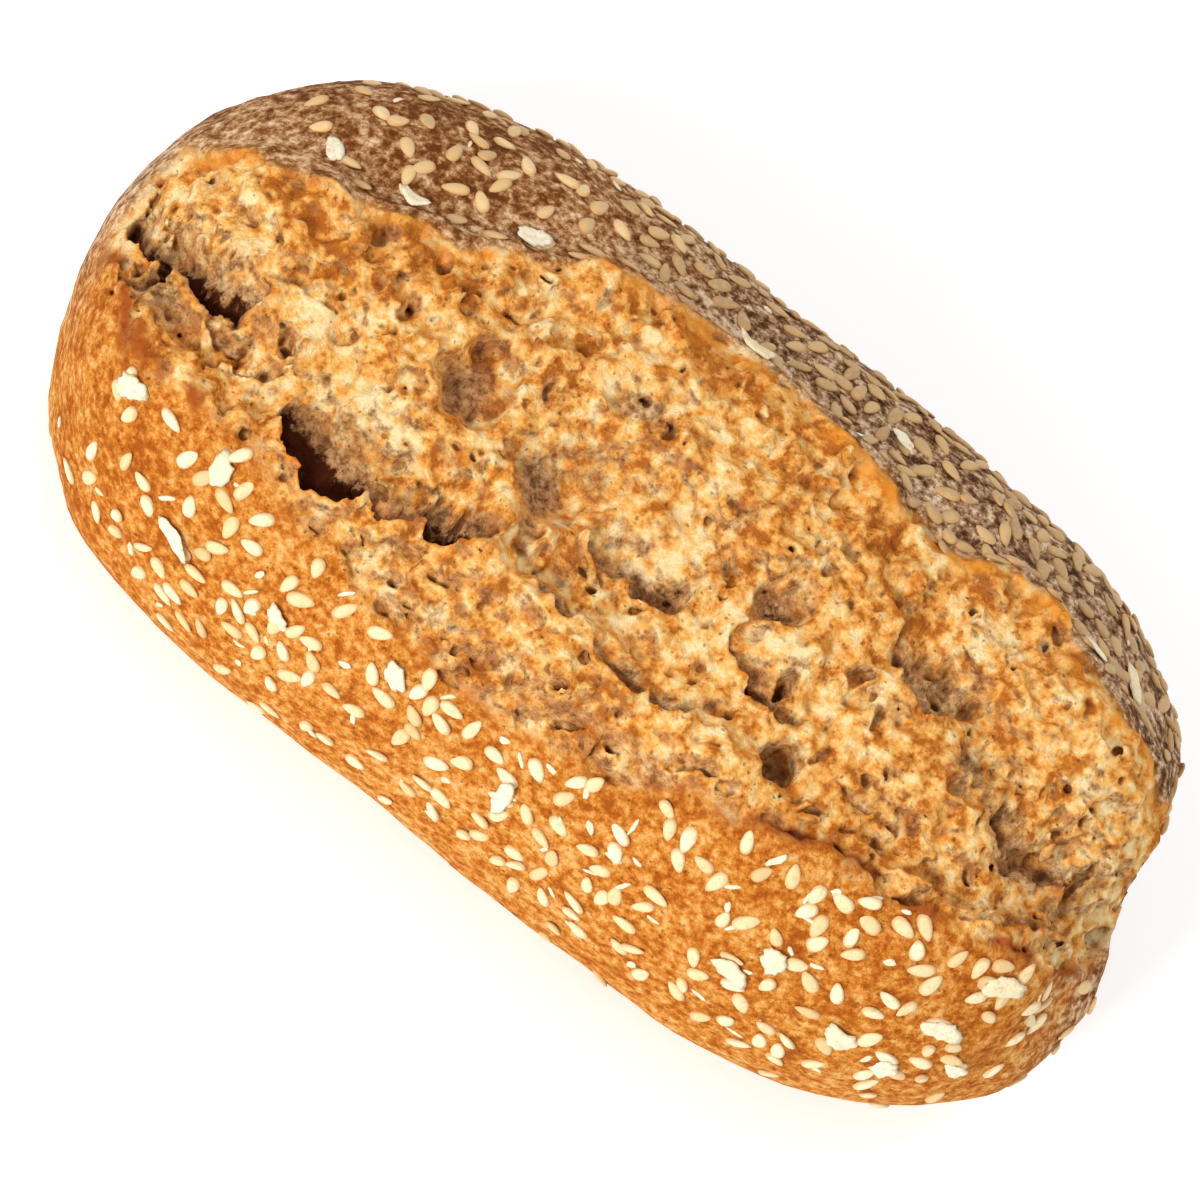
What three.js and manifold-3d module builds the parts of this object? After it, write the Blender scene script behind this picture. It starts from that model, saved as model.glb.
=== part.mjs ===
// Wholegrain sourdough loaf: one uncut body with its torn top, sesame seeds and oat flakes.
// Millimetres. X runs along the loaf, -Y is the front with the wide seeded crust, Z is up.
import * as THREE from 'three';
import { ImprovedNoise } from 'three/addons/math/ImprovedNoise.js';
import { mergeVertices } from 'three/addons/utils/BufferGeometryUtils.js';
import Module from 'manifold-3d';

// Body
const HALF_LENGTH = 89.7;
const HALF_WIDTH = 46.4;
const HEIGHT = 63;
const WIDEST_HEIGHT = 24; // above the table
const END_POWER = { front: 4.8, back: 3.9 }; // how bluntly the outline ends, seen from above
const CROWN_POWER = 2.45; // squareness of the section above its widest line
const BELLY_POWER = 2.6; // and below it
const BELLY_REACH = 1.22; // the belly's depth before the table flattens it, in widest heights
const TIP_SHIFT = { left: 2, right: -10 }; // how far the two tips lie off the middle line
const TIP_SHIFT_POWER = 19;
// The right end is set back behind its tip, by these shares of the back's width and of the crown
const RIGHT_NOTCH = { from: 78, to: 86.5, width: 0.8, crown: 0.4 };

// Mesh
const STATIONS = 64;
const END_CLUSTER = 0.6;
const CROWN = { back: 0.72, front: 1.0, steps: 26 }; // radians from the top, seen from the widest height
const FLANK = { below: 0.7, steps: 7 };
const BELLY_STEPS = 5;

// Torn top, between the rim in front and the lip behind
const RIM_LINE = [
  [-84, -16], [-76, -24], [-67, -29], [-57, -32], [-48, -30], [-40, -32], [-29, -27.5],
  [0, -26.5], [40, -28], [57, -25.5], [69, -23], [77, -18], [85, -11],
];
const LIP_LINE = [
  [-84, -3], [-74, 4], [-60, 5], [-48, 9.5], [-39, 13], [-24, 21], [0, 23],
  [20, 22.5], [27, 16], [34, 15.5], [44, 21.5], [57, 18.5], [72, 16], [84, 11],
];
const RIM = { height: 1.6, crustWidth: 9, drop: 3.0, dropWidth: 5 };
const LIP = { height: 1.0, width: 3.5, crustSink: 1.3, sinkWidth: 2.5, fadeFrom: 4, fadeTo: 16 };
const TEAR_END = { from: 80, to: 88 };
const CRUMB_LUMPS = [{ size: 13, height: 1.5 }, { size: 5.5, height: 0.8 }];
const CRUST_LUMPS = { size: 17, height: 0.7 };

// Hollows (deep) and swellings (negative deep) of the torn top: middle, half sizes, turn in degrees
const HOLLOWS = [
  { name: 'crevice under the rim', at: [-41, -28], half: [9, 4], turn: -8, deep: 6 },
  { name: 'slope above the crevice', at: [-41, -21], half: [11, 9], turn: 0, deep: 3.2 },
  { name: 'crack along the rim', at: [-24, -25.5], half: [8.5, 3], turn: 6, deep: 3.2 },
  { name: 'round hollow', at: [-30.5, -9.5], half: [6, 7.5], turn: 20, deep: 4 },
  { name: 'double hollow, left', at: [-14.5, -11.5], half: [7, 7], turn: 0, deep: 4.2 },
  { name: 'double hollow, right', at: [0.5, -13], half: [9.5, 7], turn: 12, deep: 4.6 },
  { name: 'small hollow at the rim', at: [-3.5, -23], half: [5, 3.6], turn: 0, deep: 2.6 },
  { name: 'forked hollow', at: [9, -21.5], half: [5, 4.5], turn: 30, deep: 2.8 },
  { name: 'slot', at: [19, -4], half: [4, 7], turn: -20, deep: 3.4 },
  { name: 'pale bowl', at: [27, -13], half: [8, 5.5], turn: 10, deep: 3.4 },
  { name: 'hole at the rim', at: [32.5, -23.5], half: [4.6, 3.2], turn: 0, deep: 4.2 },
  { name: 'pit', at: [38, -9], half: [4.5, 4], turn: 0, deep: 2.6 },
  { name: 'valley, start', at: [41, 3.5], half: [8, 5], turn: -30, deep: 3.6 },
  { name: 'valley, middle', at: [54, -3], half: [12, 6], turn: -22, deep: 4.2 },
  { name: 'valley, end', at: [72, -6], half: [13, 6.5], turn: -4, deep: 4.4 },
  { name: 'left hollow', at: [-72, -18], half: [12, 5], turn: 10, deep: 4.4 },
  { name: 'crease above the double hollow', at: [-9, 6], half: [9, 2.6], turn: 12, deep: 1.6 },
  { name: 'right dome', at: [64, 8], half: [16, 9], turn: -8, deep: -3.2 },
  { name: 'left bulge', at: [-66, -5], half: [14, 9], turn: 6, deep: -2.8 },
  { name: 'back swell', at: [2, 16], half: [26, 8], turn: 0, deep: -1.8 },
];

// Toppings
const SEED = { long: 3.8, wide: 2.4, thick: 1.5, sunk: 0.3 };
const SEED_COUNT = 112;
const SEED_SPACING = 5.6;
const SEED_TRIES = 40;
const FRONT_BAND = { from: -0.12, to: 0.78, ends: [-77, 80], share: 0.6 }; // radians above the widest line
const BACK_BAND = { from: -0.1, to: 0.84, ends: [-66, 78] };
const FLAKE = { long: 5.4, wide: 3.6, thick: 1.5, sunk: 0.25 };
// Where the large oat flakes lie: along the loaf, and up the flank in radians (front, then back)
const FRONT_FLAKES = [
  [-52.5, 0.60], [-53, 0.36], [-35.5, 0.36], [-68, 0.66], [-15, 0.47],
  [5.5, 0.3], [48, 0.47], [46, 0.36], [70, 0.32], [72, 0.56], [62, 0.34], [78, 0.3],
];
const BACK_FLAKES = [[67.5, 0.95], [57, 0.9], [-5, 0.93], [-55, 1.05]];
const RANDOM_SEED = 20417;

const { clamp, smoothstep, degToRad, lerp } = THREE.MathUtils;
const noise = new ImprovedNoise();

function seededRandom(seed) {
  let state = seed;
  return () => {
    state = (state + 0x6d2b79f5) | 0;
    let mixed = Math.imul(state ^ (state >>> 15), 1 | state);
    mixed = (mixed + Math.imul(mixed ^ (mixed >>> 7), 61 | mixed)) ^ mixed;
    return ((mixed ^ (mixed >>> 14)) >>> 0) / 2 ** 32;
  };
}

// Height of a line given by a few points, eased between them
function lineAt(points, x) {
  if (x <= points[0][0]) return points[0][1];
  for (let i = 1; i < points.length; i++) {
    const [x1, y1] = points[i];
    if (x <= x1) {
      const [x0, y0] = points[i - 1];
      return lerp(y0, y1, smoothstep(x, x0, x1));
    }
  }
  return points[points.length - 1][1];
}

// A smooth hill of height 1 with a rim at half sizes 1, turned in the plane
function hill(x, y, { at, half, turn }) {
  const angle = degToRad(turn);
  const dx = x - at[0];
  const dy = y - at[1];
  const along = (dx * Math.cos(angle) + dy * Math.sin(angle)) / half[0];
  const across = (dy * Math.cos(angle) - dx * Math.sin(angle)) / half[1];
  const reach = along * along + across * across;
  return reach < 1 ? (1 - reach) ** 2 * (1 + 2 * reach) : 0;
}

function lumps(x, y, z, { size, height }) {
  return height * noise.noise(x / size, y / size, z / size);
}

// Outward height of the surface over the plain form, at a point of that form
function relief(x, y, z) {
  const rim = lineAt(RIM_LINE, x);
  const lip = lineAt(LIP_LINE, x);
  const ends = 1 - smoothstep(Math.abs(x), TEAR_END.from, TEAR_END.to);
  const top = smoothstep(z, WIDEST_HEIGHT, WIDEST_HEIGHT + 15);
  const torn = smoothstep(y, rim, rim + RIM.dropWidth) * (1 - smoothstep(y, lip, lip + 1));
  const beforeRim = y < rim ? Math.exp(-(((y - rim) / RIM.crustWidth) ** 2)) : 1 - torn;
  let height = lumps(x, y, z, CRUST_LUMPS) * (1 - torn);
  height += ends * top * RIM.height * (y < lip ? beforeRim : 0);
  height += ends * top * LIP.height * Math.exp(-(((y - lip) / LIP.width) ** 2));
  const sinking = smoothstep(y, lip, lip + LIP.sinkWidth)
    * (1 - smoothstep(y, lip + LIP.fadeFrom, lip + LIP.fadeTo));
  height -= ends * top * LIP.crustSink * sinking;
  const nearRim = 1 - smoothstep(y, rim + RIM.dropWidth, rim + 5 * RIM.dropWidth);
  let tear = -RIM.drop * nearRim;
  for (const lump of CRUMB_LUMPS) tear += lumps(x + 40, y, z, lump);
  for (const hollow of HOLLOWS) tear -= hollow.deep * hill(x, y, hollow);
  return height + top * ends * torn * tear;
}

// Widths to the front and back, crown height and belly depth of the plain form at one station
function sectionAt(x) {
  const part = clamp(Math.abs(x) / HALF_LENGTH, 0, 1);
  const round = Math.sqrt(1 - part ** END_POWER.front);
  const backRound = Math.sqrt(1 - part ** END_POWER.back);
  const notch = smoothstep(x, RIGHT_NOTCH.from, RIGHT_NOTCH.to);
  return {
    front: HALF_WIDTH * round,
    back: HALF_WIDTH * backRound * (1 - RIGHT_NOTCH.width * notch),
    crown: (HEIGHT - WIDEST_HEIGHT) * round ** 0.8 * (1 - RIGHT_NOTCH.crown * notch),
    belly: WIDEST_HEIGHT * BELLY_REACH * round ** 0.6,
    shift: (x < 0 ? TIP_SHIFT.left : TIP_SHIFT.right) * part ** TIP_SHIFT_POWER,
  };
}

// A point of the skin: x along the loaf, angle round it (0 is the back, a half turn the front)
function skinPoint(x, angle) {
  const { front, back, crown, belly, shift } = sectionAt(x);
  if (front < 1e-6) return new THREE.Vector3(x, shift, WIDEST_HEIGHT);
  const cos = Math.cos(angle);
  const sin = Math.sin(angle);
  const width = cos > 0 ? back : front;
  const power = sin >= 0 ? CROWN_POWER : BELLY_POWER;
  const rise = sin >= 0 ? crown : belly;
  const size = ((Math.abs(cos) / width) ** power + (Math.abs(sin) / rise) ** power) ** (-1 / power);
  const y = shift + size * cos;
  const z = WIDEST_HEIGHT + size * sin;
  const out = relief(x, y, z);
  return new THREE.Vector3(x, y + out * cos, Math.max(0, z + out * sin));
}

// Angles round the section: close together over the torn top, wide apart underneath
function anglesRound() {
  const shoulders = [Math.PI / 2 - CROWN.back, Math.PI / 2 + CROWN.front];
  const stretches = [
    [-FLANK.below, shoulders[0], FLANK.steps],
    [shoulders[0], shoulders[1], CROWN.steps],
    [shoulders[1], Math.PI + FLANK.below, FLANK.steps],
    [Math.PI + FLANK.below, 2 * Math.PI - FLANK.below, BELLY_STEPS],
  ];
  return stretches.flatMap(([from, to, steps]) =>
    Array.from({ length: steps }, (_, i) => lerp(from, to, i / steps)));
}

function stationAt(i) {
  const even = lerp(-1, 1, i / STATIONS);
  return HALF_LENGTH * lerp(even, Math.sin(even * Math.PI / 2), END_CLUSTER);
}

function bodyGeometry() {
  const angles = anglesRound();
  const positions = [];
  const indices = [];
  const around = angles.length;
  for (let i = 1; i < STATIONS; i++) {
    for (const angle of angles) positions.push(...skinPoint(stationAt(i), angle));
  }
  const leftTip = positions.length / 3;
  const rightTip = leftTip + 1;
  positions.push(...skinPoint(-HALF_LENGTH, 0), ...skinPoint(HALF_LENGTH, 0));
  for (let j = 0; j < around; j++) {
    const next = (j + 1) % around;
    for (let i = 0; i < STATIONS - 2; i++) {
      const here = i * around;
      const there = here + around;
      indices.push(here + j, there + next, there + j, here + j, here + next, there + next);
    }
    const last = (STATIONS - 2) * around;
    indices.push(leftTip, next, j, rightTip, last + j, last + next);
  }
  const geometry = new THREE.BufferGeometry();
  geometry.setAttribute('position', new THREE.Float32BufferAttribute(positions, 3));
  geometry.setIndex(indices);
  return geometry;
}

// Frame of the skin at a point: tangent round the section, tangent along the loaf, outward normal
function skinFrame(x, angle) {
  const step = 0.02;
  const along = skinPoint(x + 1, angle).sub(skinPoint(x - 1, angle)).normalize();
  const round = skinPoint(x, angle + step).sub(skinPoint(x, angle - step)).normalize();
  const normal = new THREE.Vector3().crossVectors(round, along).normalize();
  return new THREE.Matrix4().makeBasis(along, normal.clone().cross(along), normal);
}

// A seed or flake lying on the skin, with a blunt and a narrow end
function topping(x, angle, turn, size, shape) {
  const geometry = new THREE.SphereGeometry(0.5, shape.sides, shape.rings);
  geometry.rotateZ(-Math.PI / 2);
  const points = geometry.attributes.position;
  for (let i = 0; i < points.count; i++) {
    const taper = 1 - shape.taper * points.getX(i);
    points.setY(i, points.getY(i) * taper);
  }
  geometry.scale(size.long, size.wide, size.thick);
  geometry.translate(0, 0, size.thick * (0.5 - size.sunk) - 0.2 * size.thick);
  geometry.rotateZ(turn);
  geometry.applyMatrix4(skinFrame(x, angle));
  geometry.translate(...skinPoint(x, angle));
  return geometry;
}

function resized(size, factor) {
  return { ...size, long: size.long * factor, wide: size.wide * factor };
}

// Seeds spread evenly over the two crust bands: each takes the emptiest of a few random places
function seedPlaces(random, taken) {
  const places = [];
  const bandPlace = (band, front) => {
    const x = lerp(band.ends[0], band.ends[1], random());
    const up = lerp(band.from, band.to, random());
    return { x, angle: front ? Math.PI - up : up };
  };
  for (let i = 0; i < SEED_COUNT; i++) {
    const front = i < SEED_COUNT * FRONT_BAND.share;
    let best = null;
    for (let k = 0; k < SEED_TRIES; k++) {
      const place = bandPlace(front ? FRONT_BAND : BACK_BAND, front);
      const point = skinPoint(place.x, place.angle);
      const gap = Math.min(...taken.map((other) => other.distanceTo(point)));
      if (gap > SEED_SPACING && (!best || gap > best.gap)) best = { ...place, point, gap };
    }
    if (best) {
      places.push(best);
      taken.push(best.point);
    }
  }
  return places;
}

const wasm = await Module();
wasm.setup();

function toSolid(geometry) {
  const bare = geometry.clone();
  bare.deleteAttribute('normal');
  bare.deleteAttribute('uv');
  const merged = mergeVertices(bare, 1e-5);
  return new wasm.Manifold(new wasm.Mesh({
    numProp: 3,
    vertProperties: new Float32Array(merged.attributes.position.array),
    triVerts: new Uint32Array(merged.index.array),
  }));
}

function toGeometry(solid) {
  const mesh = solid.getMesh();
  const geometry = new THREE.BufferGeometry();
  geometry.setAttribute('position', new THREE.Float32BufferAttribute(mesh.vertProperties, 3));
  geometry.setIndex(new THREE.Uint32BufferAttribute(mesh.triVerts, 1));
  return geometry;
}

function loafGeometry() {
  const random = seededRandom(RANDOM_SEED);
  const flakePlaces = [
    ...FRONT_FLAKES.map(([x, up]) => ({ x, angle: Math.PI - up })),
    ...BACK_FLAKES.map(([x, up]) => ({ x, angle: up })),
  ];
  const taken = flakePlaces.map(({ x, angle }) => skinPoint(x, angle));
  const toppings = flakePlaces.map(({ x, angle }) =>
    topping(x, angle, random() * Math.PI, resized(FLAKE, lerp(0.8, 1.25, random())),
      { sides: 6, rings: 4, taper: 0.25 }));
  for (const { x, angle } of seedPlaces(random, taken)) {
    const turn = random() * 2 * Math.PI;
    const size = resized(SEED, lerp(0.9, 1.15, random()));
    toppings.push(topping(x, angle, turn, size, { sides: 5, rings: 3, taper: 0.7 }));
  }
  let loaf = toSolid(bodyGeometry());
  for (const piece of toppings) loaf = loaf.add(toSolid(piece));
  const geometry = toGeometry(loaf);
  geometry.computeBoundingBox();
  const { min, max } = geometry.boundingBox;
  geometry.translate(-(min.x + max.x) / 2, -(min.y + max.y) / 2, -min.z);
  geometry.computeVertexNormals();
  return geometry;
}

const crust = new THREE.MeshStandardMaterial({ color: 0xb9743a, roughness: 0.85, metalness: 0 });
const loaf = new THREE.Mesh(loafGeometry(), crust);
loaf.name = 'loaf';

const part = new THREE.Group();
part.add(loaf);

export default part;
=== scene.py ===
import math

import bpy
import numpy as np
import openvdb
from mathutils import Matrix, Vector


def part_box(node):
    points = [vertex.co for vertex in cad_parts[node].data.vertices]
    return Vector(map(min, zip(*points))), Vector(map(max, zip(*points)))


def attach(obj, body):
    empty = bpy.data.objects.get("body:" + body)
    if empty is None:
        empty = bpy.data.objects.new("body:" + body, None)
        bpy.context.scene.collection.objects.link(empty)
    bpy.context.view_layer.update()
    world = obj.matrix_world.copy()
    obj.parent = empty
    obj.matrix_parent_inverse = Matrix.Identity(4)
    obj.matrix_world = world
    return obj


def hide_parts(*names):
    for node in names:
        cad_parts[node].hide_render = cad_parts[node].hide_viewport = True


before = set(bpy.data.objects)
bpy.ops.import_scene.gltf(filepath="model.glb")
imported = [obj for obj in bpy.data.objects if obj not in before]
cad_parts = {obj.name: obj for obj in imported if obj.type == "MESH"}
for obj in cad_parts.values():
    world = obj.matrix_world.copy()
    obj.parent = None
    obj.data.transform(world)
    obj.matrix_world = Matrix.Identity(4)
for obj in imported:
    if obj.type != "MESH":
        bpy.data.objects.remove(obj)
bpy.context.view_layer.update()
loafLow, loafHigh = (np.array(corner) * 1000 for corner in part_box("loaf"))

mm = 0.001  # shapes are worked out in millimetres and put down in metres


# Small helpers
def report(stage):
    print("loaf scene:", stage, flush=True)


def smooth(low, high, value):
    t = np.clip((value - low) / (high - low), 0, 1)
    return t * t * (3 - 2 * t)


def bell(value, middle, width):
    return np.exp(-((value - middle) / width) ** 2)


def turns(sides):
    return np.linspace(0, 2 * math.pi, sides, endpoint=False)


def easedLine(points, x):
    xs, ys = np.array(points, float).T
    i = np.clip(np.searchsorted(xs, x) - 1, 0, len(xs) - 2)
    return ys[i] + (ys[i + 1] - ys[i]) * smooth(xs[i], xs[i + 1], x)


def turnedPlace(x, y, at, half, turn):
    # place in half sizes of a patch that is turned by some degrees
    x, y, angle = x - at[0], y - at[1], math.radians(turn)
    along = (x * math.cos(angle) + y * math.sin(angle)) / half[0]
    return along, (y * math.cos(angle) - x * math.sin(angle)) / half[1]


def splineTaps(t):
    return (1 - t) ** 2 / 2, 0.5 + t - t * t, t * t / 2


def volumeNoise(counts, spacing, seed):
    # smooth random values with a spread of 1 on a grid, with a knot every few cells
    places = [np.arange(count) / spacing for count in counts]
    field = np.random.default_rng(seed).standard_normal([int(p[-1]) + 3 for p in places]).astype(np.float32)
    for axis in (2, 1, 0):
        cell = places[axis].astype(int)
        shape = [-1 if k == axis else 1 for k in range(3)]
        taps = splineTaps((places[axis] - cell).astype(np.float32))
        field = sum(tap.reshape(shape) * np.take(field, cell + k, axis) for k, tap in enumerate(taps))
    return field / field.std()


def planNoise(p, q, seed, size=128):
    # the same in two dimensions, at any places, given in knots
    table = np.random.default_rng(seed).standard_normal((size, size))
    i, j = np.floor(p).astype(int), np.floor(q).astype(int)
    total = 0
    for a, first in enumerate(splineTaps(p - i)):
        for b, second in enumerate(splineTaps(q - j)):
            total = total + first * second * table[(i + a) % size, (j + b) % size]
    return total / 0.55


# The view that the photo was taken from
view = {
    "elevation": 62,    # degrees above the table
    "roll": 37.77,    # degrees the loaf's long side slopes down to the right
    "distance": 800,
    "frameWidth": 171.4,    # what the picture's width takes in at that distance
    "centre": (-0.8, 0, 28),    # a point inside the loaf
    "shift": (0.2, -4.5),    # from there to the picture's middle, along and across
    "middle": (0.2, -1.65),    # the picture's middle as u and v, along and across the loaf
}


def viewAxes():
    high = math.radians(view["elevation"])
    along = np.array([1.0, 0, 0])
    across = np.array([0, math.sin(high), math.cos(high)])
    return along, across, np.cross(along, across)


def pictured(points):
    # where a point shows in the picture: u along the loaf and v across it to the back, in millimetres
    along, across, back = viewAxes()
    local = points - np.array(view["centre"])
    scale = view["distance"] / (view["distance"] - local @ back)
    return ((local @ along - view["shift"][0]) * scale + view["middle"][0],
            (local @ across - view["shift"][1]) * scale + view["middle"][1])


# The loaf's plain form, in millimetres, as the solid has it
seedProud = 0.7  # how far the solid's seeds stand out of its sides

form = {
    "halfLength": loafHigh[0],
    "halfWidth": loafHigh[1] - seedProud,
    "height": loafHigh[2] - 1.7,
    "widestHeight": 24,
    "frontEndPower": 4.8, "backEndPower": 3.9,
    "crownPower": 2.45, "bellyPower": 2.6, "bellyReach": 1.22,
    "crownTaper": 0.8, "bellyTaper": 0.6,
    "leftTipShift": 2, "rightTipShift": -10, "tipShiftPower": 19,
    "notch": (78, 86.5), "notchWidth": 0.8, "notchCrown": 0.4,
}

tear = {
    "rimLine": [(-84, -16), (-76, -24), (-67, -29), (-57, -32), (-48, -30), (-40, -32), (-29, -27.5),
                (0, -26.5), (40, -28), (57, -25.5), (69, -23), (77, -18), (85, -11)],
    "lipLine": [(-84, 0), (-74, 4), (-60, 5), (-48, 8.5), (-39, 13), (-24, 21), (0, 23),
                (20, 22.5), (27, 16), (34, 15.5), (44, 21.5), (57, 18.5), (72, 16), (84, 11)],
    "rimHeight": 1.6, "rimCrustWidth": 9, "rimDrop": 2, "rimDropWidth": 3.5, "dropReach": 22,
    "lipHeight": 1, "lipWidth": 3.5, "crustSink": 1.3, "sinkWidth": 2.5, "fadeFrom": 4, "fadeTo": 16,
    "topRise": 15,    # the tear's relief grows over this much height above the widest place
    "ends": (80, 88),    # and fades out between these, to the tips
}

# smooth hollows (positive) and swellings (negative): middle, half sizes, turn in degrees, depth
softHollows = [
    ((-41, -21), (12, 9), 0, 1.2), ((41, 3.5), (8, 5), -30, 1.6), ((54, -3), (12, 6), -22, 2.2),
    ((72, -6), (13, 6.5), -4, 2.4), ((-72, -18), (12, 5), 10, 2), ((-4, -8), (24, 13), 4, 2),
    ((64, 8), (16, 9), -8, -3.2), ((-68, -4), (14, 9), 6, -3), ((-2, 15), (30, 8), 3, -1.6),
]


def relief(x, y, z):
    rim, lip = easedLine(tear["rimLine"], x), easedLine(tear["lipLine"], x)
    ends = 1 - smooth(*tear["ends"], np.abs(x))
    top = smooth(form["widestHeight"], form["widestHeight"] + tear["topRise"], z)
    torn = smooth(rim, rim + tear["rimDropWidth"], y) * (1 - smooth(lip, lip + 1, y))
    beforeRim = np.where(y < rim, bell(y, rim, tear["rimCrustWidth"]), 1 - torn)
    out = ends * top * tear["rimHeight"] * np.where(y < lip, beforeRim, 0)
    out += ends * top * tear["lipHeight"] * bell(y, lip, tear["lipWidth"])
    sinking = smooth(lip, lip + tear["sinkWidth"], y)
    sinking = sinking * (1 - smooth(lip + tear["fadeFrom"], lip + tear["fadeTo"], y))
    out -= ends * top * tear["crustSink"] * sinking
    inTear = -tear["rimDrop"] * (1 - smooth(rim + tear["rimDropWidth"], rim + tear["dropReach"], y))
    for at, half, turn, deep in softHollows:
        along, across = turnedPlace(x, y, at, half, turn)
        reach = np.minimum(along ** 2 + across ** 2, 1)
        inTear = inTear - deep * (1 - reach) ** 2 * (1 + 2 * reach)
    return out + top * ends * torn * inTear


def skin(x, angle):
    cos, sin = np.cos(angle), np.sin(angle)
    part = np.clip(np.abs(x) / form["halfLength"], 0, 1)
    around = np.maximum(np.sqrt(1 - part ** form["frontEndPower"]), 1e-6)
    behind = np.maximum(np.sqrt(1 - part ** form["backEndPower"]), 1e-6)
    notch = smooth(*form["notch"], x)
    width = form["halfWidth"] * np.where(cos > 0, behind * (1 - form["notchWidth"] * notch), around)
    crown = (form["height"] - form["widestHeight"]) * around ** form["crownTaper"]
    crown = crown * (1 - form["notchCrown"] * notch)
    belly = form["widestHeight"] * form["bellyReach"] * around ** form["bellyTaper"]
    shift = np.where(x < 0, form["leftTipShift"], form["rightTipShift"]) * part ** form["tipShiftPower"]
    power = np.where(sin >= 0, form["crownPower"], form["bellyPower"])
    rise = np.where(sin >= 0, crown, belly)
    size = ((np.abs(cos) / width) ** power + (np.abs(sin) / rise) ** power) ** (-1 / power)
    y, z = shift + size * cos, form["widestHeight"] + size * sin
    out = relief(x, y, z)
    return np.stack([x, y + out * cos, np.maximum(0, z + out * sin)], axis=-1)


def skinMesh(stations=300, around=360):
    even = np.linspace(-1, 1, stations)
    xs = form["halfLength"] * (0.4 * even + 0.6 * np.sin(even * math.pi / 2))
    x, angle = np.meshgrid(xs, turns(around), indexing="ij")
    points = skin(x, angle).reshape(-1, 3)
    i, j = np.meshgrid(np.arange(stations - 1), np.arange(around), indexing="ij")
    here, there, nextJ = i * around, (i + 1) * around, (j + 1) % around
    quads = np.stack([here + j, here + nextJ, there + nextJ, there + j], axis=-1).reshape(-1, 4)
    return points.astype(np.float32), quads.astype(np.uint32)


# The body as a volume, so that pits and overhangs can be cut into it
volume = {
    "voxel": 0.45,
    "reach": 20,    # voxels kept on each side of the skin
    "margin": 4,
    "topFrom": 26,    # the crumb and its detail lie above this height
    "deepest": 8.4,    # no hollow goes deeper, or it would fall out of the kept voxels
    "merge": 0.13,    # how readily flat stretches become larger faces
}


class LoafVolume:
    def __init__(self):
        self.voxel = volume["voxel"]
        self.low = loafLow - volume["margin"]
        self.shape = tuple(np.ceil((loafHigh - loafLow + 2 * volume["margin"]) / self.voxel).astype(int))
        points, quads = skinMesh()
        transform = openvdb.createLinearTransform(self.voxel)
        grid = openvdb.FloatGrid.createLevelSetFromPolygons(
            points - self.low.astype(np.float32), quads=quads,
            transform=transform, halfWidth=volume["reach"])
        self.distance = np.empty(self.shape, np.float32)
        grid.copyToArray(self.distance)
        self.x, self.y, self.z = (self.low[k] + self.voxel * np.arange(self.shape[k]) for k in range(3))
        topIndex = int(np.searchsorted(self.z, volume["topFrom"]))
        self.top = (slice(None), slice(None), slice(topIndex, None))
        self.topShape = (self.shape[0], self.shape[1], self.shape[2] - topIndex)

    def heights(self):
        inside = self.distance < 0
        last = np.clip(self.shape[2] - 1 - np.argmax(inside[:, :, ::-1], axis=2), 0, self.shape[2] - 2)
        i, j = np.indices(last.shape)
        below, above = self.distance[i, j, last], self.distance[i, j, last + 1]
        part = np.clip(below / np.minimum(below - above, -1e-6), 0, 1)
        return np.where(inside.any(axis=2), self.z[last] + self.voxel * part, 0)

    def noise(self, size, seed, onlyTop=False):
        return volumeNoise(self.topShape if onlyTop else self.shape, size / self.voxel, seed)

    def sample(self, values, points):
        # value of a volume, or of a plan map, at any points
        sides = values.ndim
        local = (points[:, :sides] - self.low[:sides]) / self.voxel
        cell = np.clip(np.floor(local).astype(int), 0, np.array(values.shape) - 2)
        part = np.clip(local - cell, 0, 1)
        total = np.zeros(len(points), np.float32)
        for corner in range(2 ** sides):
            step = np.array([corner >> k & 1 for k in range(sides)])
            weight = np.prod(np.where(step, part, 1 - part), axis=1)
            total += weight * values[tuple((cell + step).T)]
        return total


report("skin to volume")
loaf = LoafVolume()
envelope = loaf.distance.copy()
planX, planY = np.meshgrid(loaf.x, loaf.y, indexing="ij")
planU, planV = pictured(np.stack([planX, planY, loaf.heights()], axis=-1))


# The torn top, laid out as the picture shows it, in u and v
tornEdge = {
    "front": [(-84, -6), (-80.6, -10.7), (-75.4, -13.9), (-66.6, -15.4), (-59.8, -14.8), (-52, -15),
              (-42, -16.8), (-34.8, -17.4), (-27.7, -21.5), (-17, -23.5), (-6, -24.2), (6, -22.5),
              (13.7, -20.6), (22, -18.5), (31, -16.2), (41, -13.2), (51, -10.2), (65, -7.4), (73, -7),
              (80, -4.5), (87.3, -0.8)],
    "back": [(-85, 13.9), (-76.3, 18.9), (-65, 21.7), (-49, 25.3), (-37.7, 31), (-27.7, 36.7),
             (-15, 38.9), (-3.4, 39.6), (10.9, 38.9), (20.9, 37.2), (26.6, 35), (36.6, 34.8),
             (43.7, 37.8), (52.3, 37), (62.3, 33.4), (72.3, 30.3), (82.3, 23.9)],
    "wander": [(6, 0.65), (2.2, 0.42), (1, 0.22)],    # how unevenly edges run: size and height
    "backWander": 0.4,
    "leftAndRight": (83.5, 87.5), "heights": (28, 36),    # the torn crumb fades out over these
}

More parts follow.
